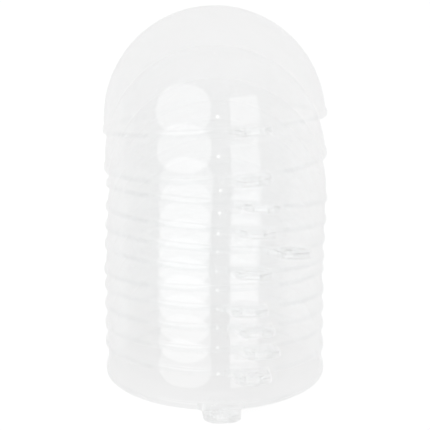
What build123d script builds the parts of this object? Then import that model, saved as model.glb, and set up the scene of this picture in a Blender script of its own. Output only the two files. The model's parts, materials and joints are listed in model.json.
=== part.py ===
# Queen cage stack: twelve identical clear dome cages nested over each other.
# Each cage is one thin moulding: a hemispherical wall, a short skirt, a rolled
# rim bead and a flat ear with an obround eye, lying in the plane of the rim.
# Units are millimetres, +Z is up, the bottom cage stands on its rim on z = 0.
# The origin is the middle of the whole stack's footprint, on the ground.
import math
import os

from build123d import *

os.makedirs("parts", exist_ok=True)

# ---- one cage -----------------------------------------------------------
R_OUT = 35.0        # outer radius of the hemispherical wall (70 mm dome)
WALL = 0.35         # wall of the hemisphere
R_IN = R_OUT - WALL
SKIRT = 1.5         # height of the sphere's centre above the rim plane
R_MOUTH = 35.0      # inside radius of the straight mouth, relieved for nesting
MOUTH_H = 1.45      # height of the straight mouth
MOUTH_TOP = 2.45    # height at which the relief runs out into the inner sphere
R_BEAD = 35.55      # outer radius of the rim bead
BEAD_H = 2.2        # height of the rim bead
BEAD_C = 0.14       # broken edge of the bead
BEAD_TOP_SLOPE = 0.18

EAR_REACH = 44.4    # from the dome axis to the ear's tip
EAR_W_ROOT = 11.6   # ear width at the bead
EAR_W_TIP = 10.6    # ear width near the tip
EAR_CORNER = 4.0    # rounded corners of the tip
EAR_FLARE = 1.5     # concave flare where the ear leaves the bead
EAR_T = 2.0         # height of the ear's raised border
EAR_WEB = 1.25      # thickness of the ear's floor inside the border
EAR_BORDER = 1.0    # width of the raised border
EYE_L = 5.0         # obround eye, end to end
EYE_W = 2.6         # obround eye, width
EYE_AT = 40.0       # from the dome axis to the eye's middle
EYE_COLLAR = 0.75   # width of the raised collar round the eye
EAR_IN = 35.15      # the ear is rooted in the bead from this radius

# ---- how each cage sits on the one below ----------------------------------
# name, side tilt (deg, right side up is +), fore tilt (deg, front down is +),
# spacing of the sphere centres, share of the spacing along the cage's own axis
# (the rest is vertical), side and depth play, azimuth of the ear
# (deg, 0 is towards -Y and + is towards +X)
STACK = [
    ("dome_02", -0.9, -3.6, 8.20, 1.00, -0.22, 0.0, 16.0),
    ("dome_03", -0.4, -4.8, 6.35, 1.00, -0.15, 0.0, 20.0),
    ("dome_04", -0.9, -5.6, 6.00, 1.00, -0.10, 0.0, 17.5),
    ("dome_05", -1.3, -5.8, 5.95, 1.00, -0.10, 0.0, 14.5),
    ("dome_06", 0.3, -5.2, 5.98, 1.00, -0.10, 0.0, 152.0),
    ("dome_07", -3.4, -4.7, 5.98, 1.00, -0.14, 0.0, 16.0),
    ("dome_08", -3.8, -4.6, 5.98, 1.00, -0.14, 0.0, 34.0),
    ("dome_09", -3.6, -4.5, 6.15, 1.00, -0.15, 0.0, 17.0),
    ("dome_10", -4.0, -5.2, 7.05, 1.00, -0.25, 0.0, 18.5),
    ("dome_11", 4.0, 1.0, 10.50, 0.35, -0.35, -0.2, 15.0),
    ("dome_12", 4.6, -1.7, 12.10, 0.25, 0.10, 0.0, 15.5),
]
EAR_AZ_01 = 3.0     # the bottom cage's ear


def wall_profile():
    """Half section of the moulding in the XZ plane, rim plane at z = 0."""

    def on_sphere(radius, z):
        return math.sqrt(radius**2 - (z - SKIRT) ** 2)

    z_out = BEAD_H
    r_out = on_sphere(R_OUT, z_out)
    r_in = on_sphere(R_IN, MOUTH_TOP)
    mid = math.radians(45)
    with BuildSketch(Plane.XZ) as section:
        with BuildLine():
            ThreePointArc(
                (r_out, z_out),
                (R_OUT * math.cos(mid), SKIRT + R_OUT * math.sin(mid)),
                (0, SKIRT + R_OUT),
            )
            Line((0, SKIRT + R_OUT), (0, SKIRT + R_IN))
            ThreePointArc(
                (0, SKIRT + R_IN),
                (R_IN * math.cos(mid), SKIRT + R_IN * math.sin(mid)),
                (r_in, MOUTH_TOP),
            )
            Polyline(
                (r_in, MOUTH_TOP),
                (R_MOUTH, MOUTH_H),
                (R_MOUTH, 0),
                (R_BEAD - BEAD_C, 0),
                (R_BEAD, BEAD_C),
                (R_BEAD, BEAD_H - BEAD_TOP_SLOPE - BEAD_C),
                (R_BEAD - BEAD_C, BEAD_H - BEAD_TOP_SLOPE),
                (r_out, z_out),
            )
        make_face()
    return section.sketch


def ear():
    """Flat ear with a raised border and a collared obround eye, towards +X."""
    root, tip = EAR_IN - 2.0, EAR_REACH
    corner, half_tip = EAR_CORNER, EAR_W_TIP / 2
    taper = (EAR_W_ROOT / 2 - half_tip) / (tip - R_BEAD)
    half_root = half_tip + taper * (tip - root)

    def outline(inset):
        with BuildSketch() as s:
            with BuildLine():
                Polyline(
                    (root, -half_root + inset),
                    (tip - inset, -half_tip + inset),
                    (tip - inset, half_tip - inset),
                    (root, half_root - inset),
                    close=True,
                )
            make_face()
            ends = s.vertices().filter_by(lambda v: v.X > tip - inset - 0.1)
            fillet(ends, corner - inset)
        return s.sketch

    body = extrude(outline(0), EAR_T)
    # concave flares, tangent to the bead and to the ear's sides
    arc_y = EAR_W_ROOT / 2 + EAR_FLARE
    arc_x = math.sqrt((R_BEAD + EAR_FLARE) ** 2 - arc_y**2)
    meets_y = arc_y * R_BEAD / (R_BEAD + EAR_FLARE)
    for side in (1, -1):
        with BuildSketch() as s:
            with BuildLine():
                Polyline(
                    (root, side * (EAR_W_ROOT / 2 - 0.8)),
                    (root, side * meets_y),
                    (arc_x, side * meets_y),
                    (arc_x, side * (EAR_W_ROOT / 2 - 0.8)),
                    close=True,
                )
            make_face()
        flare = extrude(s.sketch, EAR_T)
        flare -= Pos(arc_x, side * arc_y, 0) * Cylinder(EAR_FLARE, 3 * EAR_T)
        body += flare
    # the root follows the bead round, inside its wall
    body -= Cylinder(EAR_IN, 3 * EAR_T)
    pocket = extrude(outline(EAR_BORDER), EAR_T)
    pocket &= Pos(R_BEAD + 0.8 + 10, 0, EAR_T / 2) * Box(20, 30, 2 * EAR_T)
    body -= Pos(0, 0, EAR_WEB) * pocket
    collar = extrude(
        SlotOverall(EYE_L + 2 * EYE_COLLAR, EYE_W + 2 * EYE_COLLAR, rotation=90),
        EAR_T - 0.25,
    )
    body += Pos(EYE_AT, 0, 0) * collar
    eye = extrude(SlotOverall(EYE_L, EYE_W, rotation=90), 3 * EAR_T, both=True)
    body -= Pos(EYE_AT, 0, 0) * eye
    return body


def cage(ear_azimuth):
    """One cage in its own frame, its ear turned to the given azimuth."""
    shell = revolve(wall_profile(), Axis.Z)
    tab = Rot(0, 0, ear_azimuth - 90) * ear()
    return (shell + tab).solid()


def normal(side, fore):
    nx, ny = -math.sin(math.radians(side)), -math.sin(math.radians(fore))
    return Vector(nx, ny, math.sqrt(1 - nx * nx - ny * ny))


def seat(centre, axis):
    """Where a cage goes: its sphere centre and its axis, X kept to the right."""
    x_dir = Vector(1, 0, 0) - axis * axis.X
    plane = Plane(origin=centre - axis * SKIRT, x_dir=x_dir, z_dir=axis)
    return Location(plane)


centre, axes, centres = Vector(0, 0, SKIRT), {}, {}
placed = {"dome_01": cage(EAR_AZ_01)}
axes["dome_01"], centres["dome_01"] = Vector(0, 0, 1), centre
for name, side, fore, pitch, share, play_x, play_y, azimuth in STACK:
    n = normal(side, fore)
    step = (n * share + Vector(0, 0, 1) * (1 - share)).normalized() * pitch
    centre = centre + step + Vector(play_x, play_y, 0)
    axes[name], centres[name] = n, centre
    placed[name] = cage(azimuth).moved(seat(centre, n))

# the origin is the middle of the footprint, on the ground
boxes = [solid.bounding_box() for solid in placed.values()]
low = Vector(*(min(getattr(b.min, axis) for b in boxes) for axis in "XYZ"))
high = Vector(*(max(getattr(b.max, axis) for b in boxes) for axis in "XYZ"))
shift = Vector(-(low.X + high.X) / 2, -(low.Y + high.Y) / 2, -low.Z)
for name, solid in placed.items():
    solid = solid.moved(Location(shift))
    export_step(solid, f"parts/{name}.step")
    c, n = centres[name] + shift, axes[name]
    print(
        name,
        "centre", [round(v, 4) for v in (c.X, c.Y, c.Z)],
        "axis", [round(v, 6) for v in (n.X, n.Y, n.Z)],
        "volume", round(solid.volume, 1),
    )
print("shift", [round(v, 4) for v in (shift.X, shift.Y, shift.Z)])
print("size", [round(v, 3) for v in (high.X - low.X, high.Y - low.Y, high.Z - low.Z)])
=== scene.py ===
"""Looks for the stack of nested clear dome cages.

Every cage is one clear moulding, so every cage gets one finely modelled piece
that stands for its CAD node and rides on its body. All are the same moulding,
turned and tilted to where the CAD says each one sits.
"""

import json
import math

import bpy
from mathutils import Matrix, Vector
from mathutils.geometry import tessellate_polygon


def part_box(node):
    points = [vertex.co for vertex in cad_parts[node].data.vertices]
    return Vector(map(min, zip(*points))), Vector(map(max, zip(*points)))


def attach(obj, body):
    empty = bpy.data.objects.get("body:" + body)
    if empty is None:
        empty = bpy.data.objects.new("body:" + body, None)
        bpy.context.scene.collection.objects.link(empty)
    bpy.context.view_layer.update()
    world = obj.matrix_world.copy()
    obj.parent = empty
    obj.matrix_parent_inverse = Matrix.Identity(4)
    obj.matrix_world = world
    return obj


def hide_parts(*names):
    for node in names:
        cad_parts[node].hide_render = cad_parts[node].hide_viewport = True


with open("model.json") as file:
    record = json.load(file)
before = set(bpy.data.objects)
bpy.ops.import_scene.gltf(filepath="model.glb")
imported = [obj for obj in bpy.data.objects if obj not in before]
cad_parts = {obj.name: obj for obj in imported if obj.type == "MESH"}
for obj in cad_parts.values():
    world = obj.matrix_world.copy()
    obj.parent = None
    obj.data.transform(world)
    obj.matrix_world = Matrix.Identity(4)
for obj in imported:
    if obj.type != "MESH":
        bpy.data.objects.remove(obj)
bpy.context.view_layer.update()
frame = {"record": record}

MM = 0.001

# ---- one cage, in millimetres, the same sizes as the CAD ----------------------
R_OUT, WALL, SKIRT = 35.0, 0.35, 1.5
R_IN = R_OUT - WALL
R_BEAD, BEAD_H = 35.55, 2.2
EAR_REACH, EAR_W_ROOT, EAR_W_TIP = 44.4, 11.6, 10.6
EAR_CORNER, EAR_FLARE, EAR_T, EAR_WEB = 4.0, 1.5, 2.0, 1.25
EAR_BORDER, EYE_L, EYE_W, EYE_AT, EYE_COLLAR = 1.0, 5.0, 2.6, 40.0, 0.75
POCKET_ROOT = EAR_W_ROOT / 2 - EAR_BORDER - 0.04
SEGMENTS = 216

# ---- how each cage sits on the one below (the CAD's own numbers) --------------
STACK = [
    ("dome_02", -0.9, -3.6, 8.20, 1.00, -0.22, 0.0, 16.0),
    ("dome_03", -0.4, -4.8, 6.35, 1.00, -0.15, 0.0, 20.0),
    ("dome_04", -0.9, -5.6, 6.00, 1.00, -0.10, 0.0, 17.5),
    ("dome_05", -1.3, -5.8, 5.95, 1.00, -0.10, 0.0, 14.5),
    ("dome_06", 0.3, -5.2, 5.98, 1.00, -0.10, 0.0, 152.0),
    ("dome_07", -3.4, -4.7, 5.98, 1.00, -0.14, 0.0, 16.0),
    ("dome_08", -3.8, -4.6, 5.98, 1.00, -0.14, 0.0, 34.0),
    ("dome_09", -3.6, -4.5, 6.15, 1.00, -0.15, 0.0, 17.0),
    ("dome_10", -4.0, -5.2, 7.05, 1.00, -0.25, 0.0, 18.5),
    ("dome_11", 4.0, 1.0, 10.50, 0.35, -0.35, -0.2, 15.0),
    ("dome_12", 4.6, -1.7, 12.10, 0.25, 0.10, 0.0, 15.5),
]
EAR_AZ_01 = 3.0


# ---- mesh of the moulding ------------------------------------------------------
def on_sphere(radius, z):
    return math.sqrt(radius**2 - (z - SKIRT) ** 2)


def section():
    """The wall's section as (radius, height), from the outer pole round the bead to the inner pole."""
    pts = []
    rows, low = 46, math.asin((BEAD_H + 0.55 - SKIRT) / R_OUT)
    for i in range(1, rows + 1):
        a = math.pi / 2 + (low - math.pi / 2) * i / rows
        pts.append((R_OUT * math.cos(a), SKIRT + R_OUT * math.sin(a)))
    # hollow fillet into the bead, then the bead's rounded section
    pts += [(on_sphere(R_OUT, 2.5), 2.5), (on_sphere(R_OUT, 2.36), 2.36)]
    pts += [(35.008, 2.25), (35.035, 2.165), (35.085, 2.105), (35.16, 2.068)]
    pts += [(35.25, 2.045), (35.335, 2.01), (35.41, 1.955), (35.465, 1.87), (35.50, 1.75)]
    pts += [(35.527, 1.55), (35.545, 1.25), (35.55, 0.95), (35.545, 0.65), (35.527, 0.42)]
    pts += [(35.50, 0.27), (35.46, 0.155), (35.40, 0.07), (35.33, 0.022), (35.26, 0.0)]
    pts += [(35.10, 0.0), (35.045, 0.018), (35.012, 0.06), (35.0, 0.12), (35.0, 0.75)]
    pts += [(35.0, 1.36), (34.992, 1.47), (34.955, 1.60), (34.82, 1.95), (34.70, 2.25)]
    pts += [(34.655, 2.38)]
    low = math.asin((2.5 - SKIRT) / R_IN)
    for i in range(rows):
        a = low + (math.pi / 2 - low) * i / rows
        pts.append((R_IN * math.cos(a), SKIRT + R_IN * math.sin(a)))
    return pts


def revolved(pts):
    """A closed surface of revolution whose two poles are single points."""
    verts, faces = [(0, 0, SKIRT + R_OUT)], []
    for r, z in pts:
        for k in range(SEGMENTS):
            t = 2 * math.pi * k / SEGMENTS
            verts.append((r * math.cos(t), r * math.sin(t), z))
    verts.append((0, 0, SKIRT + R_IN))
    last = len(verts) - 1
    for k in range(SEGMENTS):
        n = (k + 1) % SEGMENTS
        faces.append((0, 1 + k, 1 + n))
        base = 1 + (len(pts) - 1) * SEGMENTS
        faces.append((last, base + n, base + k))
        for j in range(len(pts) - 1):
            a, b = 1 + j * SEGMENTS, 1 + (j + 1) * SEGMENTS
            faces.append((a + k, b + k, b + n, a + n))
    return verts, faces


def rounded(points, radii, steps):
    """A closed outline with its corners rounded."""
    out, n = [], len(points)
    for i, (p, r) in enumerate(zip(points, radii)):
        p = Vector(p)
        if r <= 0:
            out.append(tuple(p))
            continue
        u = (Vector(points[i - 1]) - p).normalized()
        v = (Vector(points[(i + 1) % n]) - p).normalized()
        half = u.angle(v) / 2
        centre = p + (u + v).normalized() * (r / math.sin(half))
        a, b = p + u * (r / math.tan(half)), p + v * (r / math.tan(half))
        ta = math.atan2(*(a - centre).yx)
        turn = (math.atan2(*(b - centre).yx) - ta + math.pi) % (2 * math.pi) - math.pi
        for s in range(steps + 1):
            t = ta + turn * s / steps
            out.append((centre.x + r * math.cos(t), centre.y + r * math.sin(t)))
    return out


def inset(outline, by):
    """The outline moved inwards by a small distance (it runs anticlockwise)."""
    out, n = [], len(outline)
    for i in range(n):
        p = Vector(outline[i])
        u, v = (p - Vector(outline[i - 1])).normalized(), (Vector(outline[(i + 1) % n]) - p).normalized()
        nu, nv = Vector((-u.y, u.x)), Vector((-v.y, v.x))
        m = nu + nv
        out.append(tuple(p + m * (by / (1 + nu.dot(nv)))))
    return out


def obround(length, width, at, steps=10):
    """An obround with its long way across the ear."""
    r, s = width / 2, (length - width) / 2
    out = []
    for i in range(steps + 1):
        t = math.pi * i / steps
        out.append((at + r * math.cos(t), s + r * math.sin(t)))
    for i in range(steps + 1):
        t = math.pi + math.pi * i / steps
        out.append((at + r * math.cos(t), -s + r * math.sin(t)))
    return out


def ear_outline():
    """The ear from above, anticlockwise, its root inside the bead."""
    slope = (EAR_W_ROOT - EAR_W_TIP) / 2 / (EAR_REACH - R_BEAD)
    y_at = lambda x: EAR_W_ROOT / 2 - slope * (x - R_BEAD)
    x_c, tilt = 36.2, math.atan(slope)
    for _ in range(12):
        y_c = y_at(x_c) + EAR_FLARE / math.cos(tilt)
        x_c = math.sqrt((R_BEAD + EAR_FLARE) ** 2 - y_c**2)
    root = math.atan2(y_c, x_c)
    deep = 35.18
    # right-hand side first: from the root out along -Y's side
    flare = []
    start, end = math.atan2(-y_c, -x_c) % (2 * math.pi), 1.5 * math.pi + tilt * -1
    for i in range(9):
        t = start + (end - start) * i / 8
        flare.append((x_c + EAR_FLARE * math.cos(t), y_c + EAR_FLARE * math.sin(t)))
    corner = rounded(
        [(flare[-1][0], flare[-1][1]), (EAR_REACH, y_at(EAR_REACH)), (EAR_REACH, 0)],
        [0, EAR_CORNER, 0],
        12,
    )[1:-1]
    side = []
    a, b = Vector(flare[-1]), Vector(corner[0])
    for i in range(1, 5):
        side.append(tuple(a.lerp(b, i / 5)))
    upper = flare + side + corner                       # from the bead out to the tip
    lower = [(x, -y) for x, y in upper]                 # the same on the other side
    arc = []
    for i in range(13):
        t = root - 2 * root * i / 12
        arc.append((deep * math.cos(t), deep * math.sin(t)))
    # anticlockwise: out along the -Y side, over the tip, back along the +Y side, root arc
    return lower + upper[::-1] + arc


def ear_solid():
    """The ear as one closed surface: raised border, sunk floor, collared eye."""
    verts, faces = [], []

    def ring(outline, z):
        first = len(verts)
        verts.extend((x, y, z) for x, y in outline)
        return list(range(first, len(verts)))

    def band(a, b, flip=False):
        n = len(a)
        for i in range(n):
            j = (i + 1) % n
            q = (a[i], a[j], b[j], b[i])
            faces.append(q[::-1] if flip else q)

    def cap(loops, up=True):
        ids = [i for loop in loops for i in loop]
        tris = tessellate_polygon([[Vector(verts[i]) for i in loop] for loop in loops])
        for t in tris:
            f = [ids[i] for i in t]
            a, b, c = (Vector(verts[i]) for i in f)
            if ((b - a).cross(c - a).z > 0) != up:
                f.reverse()
            faces.append(tuple(f))

    def rounding(outline, inward, z0, z1, r, steps=4, keep=0.05):
        """Rings for a rounded edge between a wall (at z0) and a face (at z1)."""
        rings = []
        sign = 1 if z1 > z0 else -1
        rings.append(ring(outline, z1 - sign * (r + keep)))
        for s in range(steps + 1):
            a = math.pi / 2 * s / steps
            rings.append(
                ring(inset(outline, inward * r * (1 - math.cos(a))), z1 - sign * r * (1 - math.sin(a)))
            )
        rings.append(ring(inset(outline, inward * (r + keep)), z1))
        return rings

    out = ear_outline()
    pocket = rounded(
        [
            (R_BEAD + 0.8, -POCKET_ROOT),
            (EAR_REACH - EAR_BORDER, -EAR_W_TIP / 2 + EAR_BORDER + 0.02),
            (EAR_REACH - EAR_BORDER, EAR_W_TIP / 2 - EAR_BORDER - 0.02),
            (R_BEAD + 0.8, POCKET_ROOT),
        ],
        [0.9, EAR_CORNER - EAR_BORDER, EAR_CORNER - EAR_BORDER, 0.9],
        10,
    )
    collar = obround(EYE_L + 2 * EYE_COLLAR, EYE_W + 2 * EYE_COLLAR, EYE_AT, 12)
    eye = obround(EYE_L, EYE_W, EYE_AT, 12)
    foot, top, web, lip = 0.012, EAR_T, EAR_WEB, EAR_T - 0.25

    # outside edge, bottom to top
    lower = rounding(out, 1, top, foot, 0.16)
    upper = rounding(out, 1, foot, top, 0.20)
    chain = lower[::-1] + upper
    for a, b in zip(chain, chain[1:]):
        band(a, b)
    # pocket wall: rounded over at the border, filleted at the floor
    over = rounding(pocket, -1, web, top, 0.14)
    floor_in = []
    for s in range(5):
        a = math.pi / 2 * s / 4
        floor_in.append(ring(inset(pocket, 0.2 * (1 - math.cos(a))), web + 0.2 * (1 - math.sin(a))))
    floor_in.append(ring(inset(pocket, 0.26), web))
    cap([upper[-1], over[-1]])
    chain = over[::-1] + floor_in
    for a, b in zip(chain, chain[1:]):
        band(a, b)
    # collar
    foot_c = [ring(inset(collar, -0.2), web)]
    for s in range(5):
        a = math.pi / 2 * s / 4
        foot_c.append(ring(inset(collar, -0.15 * (1 - math.sin(a))), web + 0.15 * (1 - math.cos(a))))
    over_c = rounding(collar, 1, web, lip, 0.12, keep=0.02)
    cap([floor_in[-1], foot_c[0]])
    chain = foot_c + over_c[1:]
    for a, b in zip(chain, chain[1:]):
        band(a, b)
    # eye, rounded at both ends
    eye_top = rounding(eye, -1, foot, lip, 0.12, keep=0.02)
    eye_low = rounding(eye, -1, lip, foot, 0.12, keep=0.02)
    cap([over_c[-1], eye_top[-1]])
    chain = eye_top[::-1] + eye_low
    for a, b in zip(chain, chain[1:]):
        band(a, b)
    cap([lower[-1], eye_low[-1]], up=False)
    used = sorted({i for f in faces for i in f})
    renumber = {old: new for new, old in enumerate(used)}
    return [verts[i] for i in used], [tuple(renumber[i] for i in f) for f in faces]


def mesh_object(name, verts, faces):
    mesh = bpy.data.meshes.new(name)
    mesh.from_pydata(verts, [], faces)
    mesh.validate()
    ob = bpy.data.objects.new(name, mesh)
    bpy.context.scene.collection.objects.link(ob)
    return ob


def moulding():
    """Shell and ear joined into one closed mesh, in metres."""
    shell = mesh_object("shell_tmp", *revolved(section()))
    tab = mesh_object("ear_tmp", *ear_solid())
    join = shell.modifiers.new("join", "BOOLEAN")
    join.operation, join.solver, join.object = "UNION", "EXACT", tab
    bpy.context.view_layer.update()
    dg = bpy.context.evaluated_depsgraph_get()
    mesh = bpy.data.meshes.new_from_object(shell.evaluated_get(dg))
    mesh.name = "cage_moulding"
    for ob in (shell, tab):
        data = ob.data
        bpy.data.objects.remove(ob)
        bpy.data.meshes.remove(data)
    mesh.transform(Matrix.Scale(MM, 4))
    mesh.shade_smooth()
    mesh.set_sharp_from_angle(angle=math.radians(36))
    return mesh


# ---- materials -----------------------------------------------------------------
BENT_BEAD, BENT_EAR = 0.045, 0.32    # share of the light that the bead and the ear bend


def nodes_of(material):
    material.use_nodes = True
    tree = material.node_tree
    tree.nodes.clear()
    return tree, tree.nodes, tree.links


def math_node(tree, operation, a, b=None, clamp=False):
    n = tree.nodes.new("ShaderNodeMath")
    n.operation, n.use_clamp = operation, clamp
    for i, v in enumerate((a, b)):
        if v is None:
            continue
        if isinstance(v, (int, float)):
            n.inputs[i].default_value = v
        else:
            tree.links.new(v, n.inputs[i])
    return n.outputs[0]


def flow_bump(tree, strength, distance):
    """Slow waviness of a thin moulding."""
    coords = tree.nodes.new("ShaderNodeTexCoord")
    slow = tree.nodes.new("ShaderNodeTexNoise")
    slow.inputs["Scale"].default_value = 95.0
    slow.inputs["Detail"].default_value = 1.0
    tree.links.new(coords.outputs["Object"], slow.inputs["Vector"])
    bump = tree.nodes.new("ShaderNodeBump")
    bump.inputs["Strength"].default_value = strength
    bump.inputs["Distance"].default_value = distance
    tree.links.new(slow.outputs["Fac"], bump.inputs["Height"])
    return coords, slow, bump


def skin(tree, bump, under):
    """The outer face over what is under it: one reflection stands for both faces of the thin wall."""
    nodes, links = tree.nodes, tree.links
    fresnel = nodes.new("ShaderNodeFresnel")
    fresnel.inputs["IOR"].default_value = 1.58
    links.new(bump.outputs["Normal"], fresnel.inputs["Normal"])
    side = nodes.new("ShaderNodeNewGeometry")
    front = math_node(tree, "SUBTRACT", 1.0, side.outputs["Backfacing"])
    both = math_node(tree, "DIVIDE", math_node(tree, "MULTIPLY", fresnel.outputs[0], 2.0),
                     math_node(tree, "ADD", fresnel.outputs[0], 1.0))
    share = math_node(tree, "MULTIPLY", both, front, clamp=True)
    gloss = nodes.new("ShaderNodeBsdfGlossy")
    gloss.inputs["Roughness"].default_value = 0.0
    gloss.inputs["Color"].default_value = (1, 1, 1, 1)
    links.new(bump.outputs["Normal"], gloss.inputs["Normal"])
    mix = nodes.new("ShaderNodeMixShader")
    links.new(share, mix.inputs[0])
    links.new(under, mix.inputs[1])
    links.new(gloss.outputs[0], mix.inputs[2])
    out = nodes.new("ShaderNodeOutputMaterial")
    links.new(mix.outputs[0], out.inputs["Surface"])


def clear_wall():
    """Thin clear wall: straight through, under its reflection."""
    m = bpy.data.materials.new("clear_wall")
    tree, nodes, links = nodes_of(m)
    coords, slow, bump = flow_bump(tree, 0.25, 0.0003)
    through = nodes.new("ShaderNodeBsdfTransparent")
    tint = nodes.new("ShaderNodeMix")
    tint.data_type = "RGBA"
    tint.inputs[6].default_value = (0.9995, 0.9998, 0.9998, 1)
    tint.inputs[7].default_value = (0.9985, 0.999, 0.9992, 1)
    links.new(slow.outputs["Fac"], tint.inputs[0])
    links.new(tint.outputs[2], through.inputs["Color"])
    skin(tree, bump, through.outputs[0])
    return m


def clear_solid(name, bent):
    """The thicker bead and ear, where the plastic bends some of the light."""
    m = bpy.data.materials.new(name)
    tree, nodes, links = nodes_of(m)
    coords, slow, bump = flow_bump(tree, 0.3, 0.0003)
    tint = nodes.new("ShaderNodeMix")
    tint.data_type = "RGBA"
    tint.inputs[6].default_value = (0.9985, 0.999, 0.999, 1)
    tint.inputs[7].default_value = (0.994, 0.9965, 0.9965, 1)
    links.new(slow.outputs["Fac"], tint.inputs[0])
    glass = nodes.new("ShaderNodeBsdfGlass")
    glass.inputs["IOR"].default_value = 1.58
    glass.inputs["Roughness"].default_value = 0.0
    links.new(tint.outputs[2], glass.inputs["Color"])
    links.new(bump.outputs["Normal"], glass.inputs["Normal"])
    # the moulding is thin even here, so much of the light goes on as through the wall
    through = nodes.new("ShaderNodeBsdfTransparent")
    links.new(tint.outputs[2], through.inputs["Color"])
    mix = nodes.new("ShaderNodeMixShader")
    mix.inputs[0].default_value = bent
    links.new(through.outputs[0], mix.inputs[1])
    links.new(glass.outputs[0], mix.inputs[2])
    skin(tree, bump, mix.outputs[0])
    return m


# ---- the twelve cages ------------------------------------------------------------
mesh = moulding()
mesh.materials.clear()
mesh.materials.append(clear_wall())
mesh.materials.append(clear_solid("clear_bead", BENT_BEAD))
mesh.materials.append(clear_solid("clear_ear", BENT_EAR))
for poly in mesh.polygons:
    c = poly.center
    r = math.hypot(c.x, c.y)
    solid = r > 35.003 * MM or c.z < 1.4 * MM
    poly.material_index = 2 if r > (R_BEAD + 0.01) * MM else 1 if solid else 0


def normal(side, fore):
    nx, ny = -math.sin(math.radians(side)), -math.sin(math.radians(fore))
    return Vector((nx, ny, math.sqrt(1 - nx * nx - ny * ny)))


def seat(centre, axis, azimuth):
    """Row-frame matrix of a cage: its rim plane's middle, its axis, and its ear turned."""
    x = (Vector((1, 0, 0)) - axis * axis.x).normalized()
    y = axis.cross(x)
    turn = Matrix((x, y, axis)).transposed().to_4x4()
    place = Matrix.Translation((centre - axis * SKIRT) * MM)
    return place @ turn @ Matrix.Rotation(math.radians(azimuth - 90), 4, "Z")


lo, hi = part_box("dome_01")
# the bottom cage stands upright, so its rim is centred on its box left to right
centre = Vector(((lo.x + hi.x) / 2 / MM, hi.y / MM - R_BEAD, SKIRT))
seats = {"dome_01": seat(centre, Vector((0, 0, 1)), EAR_AZ_01)}
for name, side, fore, pitch, share, play_x, play_y, azimuth in STACK:
    n = normal(side, fore)
    step = (n * share + Vector((0, 0, 1)) * (1 - share)).normalized() * pitch
    centre = centre + step + Vector((play_x, play_y, 0))
    seats[name] = seat(centre, n, azimuth)

cages = []
for body, members in frame["record"]["behaviour"]["bodies"].items():
    node = members[0]
    own = mesh.copy()
    own.transform(seats[node])
    ob = bpy.data.objects.new(node.replace("dome", "clear_cage"), own)
    bpy.context.scene.collection.objects.link(ob)
    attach(ob, body)
    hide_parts(node)
    cages.append((ob, node))

# ---- floor, light, camera ----------------------------------------------------------
# THROUGH is painted shade: the level that the floor and the backdrop are set to where they are seen through the
# plastic
FLOOR_RADIANCE, FLOOR_TONE, THROUGH = 1.03, 0.845, 0.90
# painted shade: FRONT_FALL darkens the floor's colour in front of the object, and the backdrop's brightness takes
# the same fall
FRONT_FALL = 0.92   # how much of that is left on the front side, away from the light


def seen_directly(tree):
    """1 where the backdrop is seen with no plastic in front of it, 0 through the plastic."""
    path = tree.nodes.new("ShaderNodeLightPath")
    bare = math_node(tree, "LESS_THAN", path.outputs["Transparent Depth"], 0.5)
    return math_node(tree, "MULTIPLY", path.outputs["Is Camera Ray"], bare)


def floor():
    verts, faces, n = [(0, 0, 0)], [], 96
    radii = [0.1, 0.2, 0.4, 0.8, 1.6, 3.2, 6.4, 12.0]
    for r in radii:
        verts += [(r * math.cos(2 * math.pi * k / n), r * math.sin(2 * math.pi * k / n), 0) for k in range(n)]
    for k in range(n):
        m = (k + 1) % n
        faces.append((0, 1 + k, 1 + m))
        for j in range(len(radii) - 1):
            a, b = 1 + j * n, 1 + (j + 1) * n
            faces.append((a + k, b + k, b + m, a + m))
    ob = mesh_object("studio_floor", verts, faces)
    ob.location = (0, 0, -0.00005)
    m = bpy.data.materials.new("pale_floor")
    tree, nodes, links = nodes_of(m)
    coords = nodes.new("ShaderNodeTexCoord")
    grain = nodes.new("ShaderNodeTexNoise")
    grain.inputs["Scale"].default_value = 40.0
    links.new(coords.outputs["Object"], grain.inputs["Vector"])
    tone = nodes.new("ShaderNodeMix")
    tone.data_type = "RGBA"
    tone.inputs[6].default_value = (0.84, 0.84, 0.84, 1)
    tone.inputs[7].default_value = (0.85, 0.85, 0.85, 1)
    links.new(grain.outputs["Fac"], tone.inputs[0])
    # painted shade: the floor seen directly renders white, and where it is seen through the plastic its colour is
    # darkened to the THROUGH level
    behind = nodes.new("ShaderNodeMix")
    behind.data_type = "RGBA"
    behind.blend_type = "MULTIPLY"
    behind.inputs[7].default_value = (THROUGH / FLOOR_RADIANCE,) * 3 + (1,)
    links.new(math_node(tree, "SUBTRACT", 1.0, seen_directly(tree)), behind.inputs[0])
    # painted shade: the floor's colour is darkened a little in front of the object, where the light would fall off
    where = nodes.new("ShaderNodeSeparateXYZ")
    links.new(coords.outputs["Object"], where.inputs[0])
    reach = nodes.new("ShaderNodeVectorMath")
    reach.operation = "LENGTH"
    links.new(coords.outputs["Object"], reach.inputs[0])
    toward = math_node(tree, "DIVIDE", where.outputs[1], math_node(tree, "ADD", reach.outputs["Value"], 0.05))
    fall = nodes.new("ShaderNodeMapRange")
    fall.interpolation_type = "SMOOTHSTEP"
    fall.inputs["From Min"].default_value = -0.75
    fall.inputs["From Max"].default_value = -0.50
    fall.inputs["To Min"].default_value = FRONT_FALL
    fall.inputs["To Max"].default_value = 1.0
    links.new(toward, fall.inputs["Value"])
    painted_falloff_tone = nodes.new("ShaderNodeVectorMath")
    painted_falloff_tone.operation = "SCALE"
    links.new(tone.outputs[2], painted_falloff_tone.inputs[0])
    links.new(fall.outputs[0], painted_falloff_tone.inputs["Scale"])
    links.new(painted_falloff_tone.outputs["Vector"], behind.inputs[6])
    matt = nodes.new("ShaderNodeBsdfDiffuse")
    links.new(behind.outputs[2], matt.inputs["Color"])
    out = nodes.new("ShaderNodeOutputMaterial")
    links.new(matt.outputs[0], out.inputs["Surface"])
    ob.data.materials.append(m)
    ob.visible_glossy = False
    return ob


floor_ob = floor()


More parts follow.
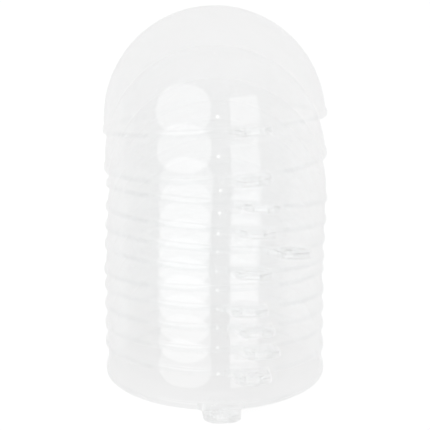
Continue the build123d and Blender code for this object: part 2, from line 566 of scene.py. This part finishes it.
def sun(name, share, angle, tilt):
    light = bpy.data.lights.new(name, "SUN")
    light.angle = math.radians(angle)
    light.energy = share * FLOOR_RADIANCE / FLOOR_TONE * math.pi / math.cos(math.radians(tilt))
    ob = bpy.data.objects.new(name, light)
    ob.rotation_euler = (math.radians(tilt), 0, 0)
    bpy.context.scene.collection.objects.link(ob)
    ob.visible_glossy = False
    ob.visible_camera = False
    ob.visible_transmission = False
    return ob


soft = sun("overhead_soft", 0.94, 60, 0)
shade = sun("overhead_shade", 0.06, 35, 20)
blockers = bpy.data.collections.new("not_blocking_the_soft_light")
for ob, node in cages:
    blockers.objects.link(ob)
soft.light_linking.blocker_collection = blockers
for link in blockers.collection_objects:
    link.light_linking.link_state = "EXCLUDE"


def studio_world():
    """What the clear plastic reflects: a pale tent, a round softbox to the left of the
    camera, a rectangular one to its right, and a small lamp beside it."""
    world = bpy.data.worlds.new("pale_studio")
    bpy.context.scene.world = world
    world.use_nodes = True
    tree = world.node_tree
    tree.nodes.clear()
    nodes, links = tree.nodes, tree.links
    coords = nodes.new("ShaderNodeTexCoord")
    xyz = nodes.new("ShaderNodeSeparateXYZ")
    links.new(coords.outputs["Generated"], xyz.inputs[0])
    x, y, z = xyz.outputs
    back = math_node(tree, "MULTIPLY", y, -1.0)
    azimuth = math_node(tree, "MULTIPLY", math_node(tree, "ARCTAN2", x, back), 180 / math.pi)
    elevation = math_node(tree, "MULTIPLY", math_node(tree, "ARCSINE", z), 180 / math.pi)
    away = math_node(tree, "ABSOLUTE", azimuth)

    def ramp(value, low, high):
        """0 below low, 1 above high, smooth between (low may be above high)."""
        n = nodes.new("ShaderNodeMapRange")
        n.interpolation_type = "SMOOTHSTEP"
        n.inputs["From Min"].default_value = min(low, high)
        n.inputs["From Max"].default_value = max(low, high)
        n.inputs["To Min"].default_value = 0.0 if low < high else 1.0
        n.inputs["To Max"].default_value = 1.0 if low < high else 0.0
        links.new(value, n.inputs["Value"])
        return n.outputs[0]

    def angle_to(az, el):
        a, e = math.radians(az), math.radians(el)
        d = (math.sin(a) * math.cos(e), -math.cos(a) * math.cos(e), math.sin(e))
        n = nodes.new("ShaderNodeVectorMath")
        n.operation = "DOT_PRODUCT"
        links.new(coords.outputs["Generated"], n.inputs[0])
        n.inputs[1].default_value = d
        return math_node(tree, "MULTIPLY", math_node(tree, "ARCCOSINE", n.outputs["Value"]), 180 / math.pi)

    def blend(level, mask, to):
        """level*(1-mask) + to*mask"""
        a = math_node(tree, "MULTIPLY", level, math_node(tree, "SUBTRACT", 1.0, mask))
        return math_node(tree, "ADD", a, math_node(tree, "MULTIPLY", mask, to))

    level = blend(0.775, ramp(azimuth, 74, 86), 0.90)       # the tent's right side
    level = blend(level, ramp(azimuth, -101, -111), 0.90)   # and its left
    level = blend(level, ramp(away, 150, 176), 0.90)        # behind, seen at grazing edges
    level = blend(level, ramp(elevation, 20, 55), 0.90)
    level = blend(level, ramp(elevation, -6, -12), 0.87)    # the pale table
    gap = math_node(tree, "MULTIPLY", ramp(azimuth, -14, -8), ramp(azimuth, 24, 18))
    gap = math_node(tree, "MULTIPLY", gap, ramp(elevation, -12, -6))
    gap = math_node(tree, "MULTIPLY", gap, ramp(elevation, 45, 25))
    level = blend(level, gap, 0.69)                         # the camera's side, between the softboxes
    across = math_node(tree, "ABSOLUTE", math_node(tree, "MULTIPLY", math_node(tree, "ADD", azimuth, 33.0), 1 / 29))
    upright = math_node(tree, "ABSOLUTE", math_node(tree, "MULTIPLY", math_node(tree, "ADD", elevation, -15.0), 1 / 23.5))
    round_box = math_node(tree, "ADD", math_node(tree, "POWER", across, 2.5), math_node(tree, "POWER", upright, 2.5))
    round_box = ramp(round_box, 1.12, 0.90)
    level = blend(level, round_box, 1.36)
    right = math_node(tree, "MULTIPLY", ramp(azimuth, 14.5, 17), ramp(azimuth, 47.5, 44.5))
    right = math_node(tree, "MULTIPLY", right, ramp(elevation, -8.5, -6.5))
    right = math_node(tree, "MULTIPLY", right, ramp(elevation, 27, 25.5))
    level = blend(level, right, 1.33)
    lamp = ramp(angle_to(3, 8.5), 1.9, 1.3)
    level = blend(level, lamp, 2.6)

    path = nodes.new("ShaderNodeLightPath")
    level = blend(level, path.outputs["Is Transmission Ray"], 0.89)
    # painted shade: the backdrop seen through the plastic is set to the darker THROUGH level; seen directly it is
    # white, falling off to the front like the floor
    level = blend(level, path.outputs["Is Camera Ray"], THROUGH)
    toward = math_node(tree, "MULTIPLY", math_node(tree, "COSINE", math_node(tree, "MULTIPLY", azimuth, math.pi / 180)), -1.0)
    white = blend(FLOOR_RADIANCE * FRONT_FALL, ramp(toward, -0.75, -0.50), FLOOR_RADIANCE)
    bare = seen_directly(tree)
    level = math_node(tree, "ADD", blend(level, bare, 0.0), math_node(tree, "MULTIPLY", bare, white))
    background = nodes.new("ShaderNodeBackground")
    tone = nodes.new("ShaderNodeCombineColor")
    for i in range(3):
        links.new(level, tone.inputs[i])
    links.new(tone.outputs[0], background.inputs["Color"])
    out = nodes.new("ShaderNodeOutputWorld")
    links.new(background.outputs[0], out.inputs["Surface"])
    world.cycles_visibility.diffuse = False
    world.cycles_visibility.scatter = False
    return world


studio_world()

camera_data = bpy.data.cameras.new("camera")
camera = bpy.data.objects.new("camera", camera_data)
bpy.context.scene.collection.objects.link(camera)
bpy.context.scene.camera = camera
stand = Vector(seats["dome_01"].translation)
camera.location = (stand.x, stand.y - 0.300, 0.1225)
camera.rotation_euler = (math.radians(90 - 12.55), 0, 0)
camera_data.sensor_width = 36.0
camera_data.lens = 965 / 430 * 36.0
camera_data.shift_y = -0.035
camera_data.clip_start, camera_data.clip_end = 0.01, 50.0

scene = bpy.context.scene
scene.view_settings.view_transform = "Standard"
scene.view_settings.look = "None"
scene.cycles.max_bounces = 40
scene.cycles.glossy_bounces = 12
scene.cycles.transmission_bounces = 36
scene.cycles.transparent_max_bounces = 400
scene.cycles.diffuse_bounces = 0
